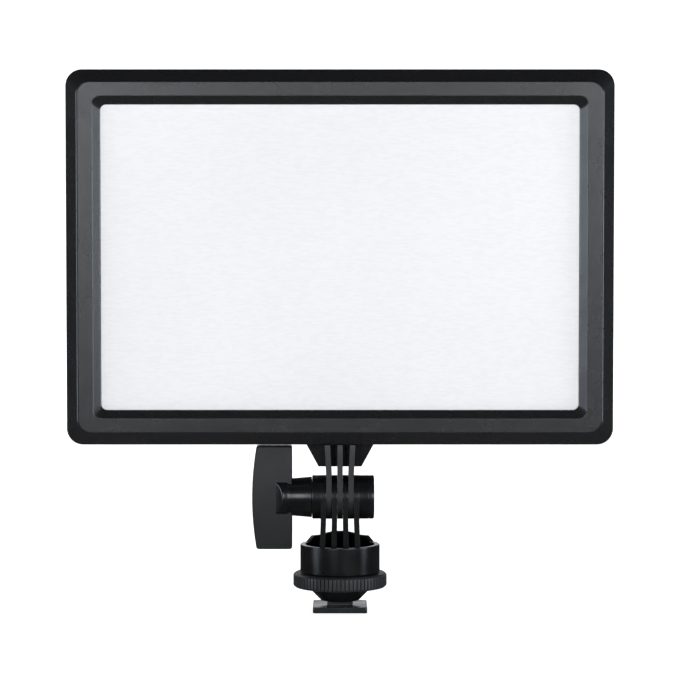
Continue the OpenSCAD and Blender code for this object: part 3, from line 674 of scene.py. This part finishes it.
def lock_wheel():
    """Knurled wheel with chamfered ribs."""
    low, high = span("lock_wheel")
    r, bore_r = high[0], 7.0
    z0, z1 = low[2], high[2]
    levels = [
        (z0, bore_r, False), (z0, r - 0.8, False), (z0 + 0.06, r - 0.62, True),
        (z0 + 0.42, r - 0.2, True), (z0 + 0.6, r - 0.05, True), (z0 + 0.8, r, True),
        (z1 - 0.8, r, True), (z1 - 0.6, r - 0.05, True), (z1 - 0.42, r - 0.2, True),
        (z1 - 0.06, r - 0.62, True), (z1, r - 0.8, False), (z1, bore_r, False)]
    rings = ribbed("z", (0, 0), levels, ribs=72, depth=0.5)
    verts, faces = loft(rings, cyclic=True)
    piece("lock_wheel_ribbed", verts, faces, [wheel_black], "wheel", ["lock_wheel"])


def clamp_washer():
    """Cone under the wheel, with a rounded lower edge."""
    profile = soften([(3.5, 5.96, 0), (3.5, 6.6, 0.2), (8.0, 11.0, 0.3), (8.0, 5.96, 0)])
    verts, faces = lathe("z", (0, 0), profile, cyclic=True)
    piece("clamp_cone", verts, faces, [hinge_black], "clamp", ["clamp_washer"])


def shoe_foot():
    """Foot plate with softened edges, neck and stud, and the mouth of the tripod socket."""
    low, high = span("shoe_foot")
    width, depth = high[0] - low[0], high[1] - low[1]
    plate_t, edge, part_edge, corner_r, steps = 2, 0.22, 0.07, 0.5, 12
    plate = []
    for z, inset in ((0, edge), (part_edge, part_edge), (edge, 0), (plate_t - edge, 0),
                     (plate_t - part_edge, part_edge), (plate_t, edge)):
        outline = rounded(width - 2 * inset, depth - 2 * inset, corner_r, steps)
        plate.append([(x, y, z) for x, y in outline])

    def ring(z, r):
        """Circle with as many points as the plate's outline."""
        points = []
        for x, y in rounded(width, depth, corner_r, steps):
            a = math.atan2(y, x)
            points.append((r * math.cos(a), r * math.sin(a), z))
        return points

    socket = [ring(7, 3.9), ring(0.25, 3.9), ring(0, 4.15)]
    neck = [ring(plate_t, 6.3), ring(plate_t + 0.12, 6.0), ring(plate_t + 0.4, 5.9), ring(5, 5.9)]
    stud = [ring(5, 5.0), ring(16.4, 5.0)]
    rings = socket + plate + neck + stud
    verts, faces = loft(rings)
    piece("shoe_foot_plate", verts, faces, [foot_black], "mount", ["shoe_foot"])


# ---- Back of the panel ----------------------------------------------------------------------------


SCREW_POINTS = 48


def hexagon(centre, along, across):
    """Points of a hexagon about a Y axis, spaced like those of a circle."""
    points = []
    apothem = across / 2
    for k in range(SCREW_POINTS):
        a = 2 * math.pi * k / SCREW_POINTS
        local = (a % (math.pi / 3)) - math.pi / 6
        r = apothem / math.cos(local)
        points.append((centre[0] + r * math.cos(a), along, centre[1] + r * math.sin(a)))
    return points


def socket_screw(x, z, y, r, height, across):
    """Screw head seen from the back, with a chamfered rim and a hexagon socket."""
    centre = (x, z)
    head = [(y - height, r), (y - 0.2, r), (y - 0.05, r - 0.08), (y, r - 0.25)]
    socket = [(y, across + 0.15), (y - 0.08, across), (y - height * 0.7, across)]
    return loft([circle("y", centre, along, radius, SCREW_POINTS) for along, radius in head]
                + [hexagon(centre, along, width) for along, width in socket])


def screws(name, node, r, height, across):
    """Detailed heads at the corners of a group of four CAD screws."""
    low, high = span(node)
    spots = [(x, z) for x in (low[0] + r, high[0] - r) for z in (low[2] + r, high[2] - r)]
    heads = [socket_screw(x, z, high[1], r, height, across) for x, z in spots]
    shank = [(low[1], ON_AXIS), (low[1], r * 0.5), (high[1] - height, r * 0.5)]
    shanks = [lathe("y", (x, z), shank, 32) for x, z in spots]
    verts, faces = join(*heads, *shanks)
    piece(name, verts, faces, [dark_steel], "head", [node], merge=1e-9)


def middle(low, high):
    """Middle of a box as seen from the front, (x, z)."""
    return (low[0] + high[0]) / 2, (low[2] + high[2]) / 2


def control_dial(name, node, body):
    """Ribbed dial with a dished top and a printed pointer."""
    low, high = span(node)
    centre = middle(low, high)
    r = (high[0] - low[0]) / 2
    y0, y1 = low[1], high[1]
    levels = [(y0 + 1.2, 1.6, False), (y0 + 1.2, 4, False), (y0, 4, False), (y0, r - 0.4, False),
              (y0 + 0.25, r - 0.1, True), (y0 + 0.6, r, True), (y1 - 1.0, r, True),
              (y1 - 0.5, r - 0.18, True), (y1 - 0.12, r - 0.65, True), (y1, r - 1.1, False),
              (y1, r - 1.7, False), (y1 - 0.25, r - 2.1, False), (y1 - 0.3, 0.02, False)]
    verts, faces = loft(ribbed("y", centre, levels, ribs=30, depth=0.5))
    piece(name, verts, faces, [control_grey], body, [node])
    mark = [[(centre[0] + x, y, centre[1] + 3.0 + z) for x, z in rounded(0.7, 4.2, 0.3)]
            for y in (y1 - 0.4, y1 - 0.2)]
    verts, faces = loft(mark)
    piece(name + "_pointer", verts, faces, [mark_white], body)


def dial_scale(name, node):
    """Printed ticks around a dial, over its range of travel."""
    low, high = span(node)
    centre = middle(low, high)
    back = low[1] - 0.4
    parts = []
    ticks, inner_r, first, travel = 11, 9.6, 230, 280
    for i in range(ticks):
        a = math.radians(first - travel * i / (ticks - 1))
        long = 1.5 if i % 5 == 0 else 0.9
        rings = []
        for y in (back - 0.05, back + 0.03):
            ring = []
            for x, z in rounded(long, 0.35, 0.15, 3):
                d = inner_r + long / 2 + x
                ring.append((centre[0] + d * math.cos(a) - z * math.sin(a), y,
                             centre[1] + d * math.sin(a) + z * math.cos(a)))
            rings.append(ring)
        parts.append(loft(rings))
    verts, faces = join(*parts)
    piece(name, verts, faces, [mark_white], "head")


def finish_cad(node, surface, width):
    """Gives a CAD node its material and, where width is set, softened edges."""
    obj = nodes[node]
    obj.data.materials.clear()
    obj.data.materials.append(surface)
    if not width:
        return
    weld = obj.modifiers.new("weld", "WELD")
    weld.merge_threshold = 2e-6
    flat = obj.modifiers.new("flat", "DECIMATE")
    flat.decimate_type = "DISSOLVE"
    flat.angle_limit = math.radians(0.8)
    edge = obj.modifiers.new("edge", "BEVEL")
    edge.width = width * MM
    edge.segments = 2
    edge.limit_method = "ANGLE"
    edge.angle_limit = math.radians(35)
    edge.harden_normals = False
    edge.use_clamp_overlap = True
    obj.modifiers.new("weighted", "WEIGHTED_NORMAL").keep_sharp = True


# ---- Studio ---------------------------------------------------------------------------------------


def camera():
    """Camera a little above the window's middle, looking slightly down."""
    data = bpy.data.cameras.new("camera")
    data.sensor_width = 36
    data.lens = 132.5
    obj = bpy.data.objects.new("camera", data)
    bpy.context.scene.collection.objects.link(obj)
    obj.location = (0.0, -0.8538, 0.1316)
    obj.rotation_euler = (math.radians(90 - 2.617), 0, 0)
    bpy.context.scene.camera = obj


def softbox(name, azimuth, elevation, spread, radiance, colour):
    """Area light around the object, placed and sized by angles in degrees seen from the object.

    The azimuth runs from the front and is positive to the right; spread is (width, height); a radiance
    of 1 is as bright as white.
    """
    distance, aim_z = 1.3, 0.10
    data = bpy.data.lights.new(name, "AREA")
    data.shape = "RECTANGLE"
    data.size, data.size_y = [2 * distance * math.tan(math.radians(angle) / 2) for angle in spread]
    data.energy = math.pi * data.size * data.size_y * radiance
    data.color = colour
    obj = bpy.data.objects.new(name, data)
    bpy.context.scene.collection.objects.link(obj)
    turn, rise = math.radians(azimuth), math.radians(elevation)
    out, up = distance * math.cos(rise), distance * math.sin(rise)
    obj.location = (out * math.sin(turn), -out * math.cos(turn), aim_z + up)
    obj.rotation_euler = (math.pi / 2 - rise, 0, turn)


def stage_surface(name, colour, glow):
    """Pale matt surface with a faint mottle and enough light of its own to look white."""
    made, tree, shader = material(name)
    cloud = noise(tree, 3, 2.0)
    tree.links.new(tint(tree, cloud, [c * 0.985 for c in colour], colour), shader.inputs["Base Color"])
    shader.inputs["Roughness"].default_value = 0.9
    shader.inputs["Specular IOR Level"].default_value = 0.1
    shader.inputs["Emission Color"].default_value = (1, 1, 1, 1)
    shader.inputs["Emission Strength"].default_value = glow
    return made


def studio():
    """Pale floor that curves up into a bright background behind the object."""
    far, near, wide, up, bend = 1.6, -3.0, 6.0, 3.0, 0.5
    section = [(near, 0)] + [(far - bend + bend * math.sin(a), bend - bend * math.cos(a))
                             for a in (math.pi / 2 * i / 12 for i in range(13))] + [(far, up)]
    verts = [(x, y, z - 0.00005) for x in (-wide, wide) for y, z in section]
    count = len(section)
    faces = [(i, i + 1, count + i + 1, count + i) for i in range(count - 1)]
    mesh = bpy.data.meshes.new("sweep")
    mesh.from_pydata(verts, [], faces)
    mesh.shade_smooth()
    mesh.materials.append(stage_surface("sweep_white", (0.88, 0.88, 0.88), 0.76))
    obj = bpy.data.objects.new("sweep", mesh)
    bpy.context.scene.collection.objects.link(obj)
    # Kept out of mirror reflections, as a distant backdrop is, so that dark edges stay dark.
    obj.visible_glossy = False
    world = bpy.data.worlds.new("studio")
    world.use_nodes = True
    world.node_tree.nodes["Background"].inputs["Color"].default_value = (0.95, 0.97, 1.0, 1)
    world.node_tree.nodes["Background"].inputs["Strength"].default_value = 0.04
    bpy.context.scene.world = world
    bpy.context.scene.view_settings.view_transform = "Standard"
    cool, blue = (0.93, 0.96, 1.0), (0.80, 0.89, 1.0)
    softbox("key_left", -18, 9, (18, 20), 7.4, cool)
    softbox("key_right", 28, 9, (38, 20), 5.9, cool)
    softbox("side_left", -73, 3, (20, 22), 7.8, blue)
    softbox("side_right", 74, 4, (15, 22), 12.0, blue)
    softbox("back_light", 180, 5, (40, 8), 1.2, cool)
    softbox("back_fill", 215, 30, (30, 30), 1.6, cool)


# ---- Build ----------------------------------------------------------------------------------------

camera()
studio()
front_bezel()
tilt_bracket()
lower_bracket()
bolt_cap()
tilt_knob()
lock_wheel()
clamp_washer()
shoe_foot()
screws("case_screw_heads", "case_screws", 2.2, 1.2, 2.0)
screws("plate_screw_heads", "plate_screws", 1.8, 0.9, 1.5)
control_dial("brightness_dial_ribbed", "brightness_dial", "brightness_control")
control_dial("colour_dial_ribbed", "colour_dial", "colour_control")
dial_scale("brightness_scale", "brightness_dial")
dial_scale("colour_scale", "colour_dial")

CAD_SURFACES = {
    "tripod_insert": (brass, 0.15), "tilt_bolt": (steel, 0.15), "wheel_insert": (brass, 0),
    "knob_washer": (steel, 0), "knob_insert": (brass, 0), "bracket_screws": (dark_steel, 0.15),
    "diffuser_sheet": (opal_white, 0), "light_guide": (clear_acrylic, 0),
    "reflector_sheet": (film_white, 0), "heat_spreader": (aluminium, 0),
    "led_strip_left": (board_green, 0), "led_strip_right": (board_green, 0),
    "daylight_leds": (daylight_yellow, 0), "tungsten_leds": (tungsten_orange, 0),
    "strip_leads": (lead_white, 0), "foam_strips": (foam_grey, 0), "rear_cover": (case_back, 0.35),
    "driver_board": (board_green, 0), "board_components": (package, 0.15),
    "board_screws": (steel, 0.1), "potentiometers": (steel, 0.1), "switch_body": (package, 0),
    "dc_jack": (package, 0.12), "battery_plate": (control_grey, 0.2),
    "battery_contacts": (gold, 0.08), "battery_latch": (control_grey, 0.2),
    "latch_spring": (steel, 0), "indicator_lenses": (lens_green, 0.12),
    "brightness_shaft": (steel, 0.1), "colour_shaft": (steel, 0.1),
    "power_switch": (control_grey, 0.2),
}
for cad_node, (surface, edge_width) in CAD_SURFACES.items():
    finish_cad(cad_node, surface, edge_width)
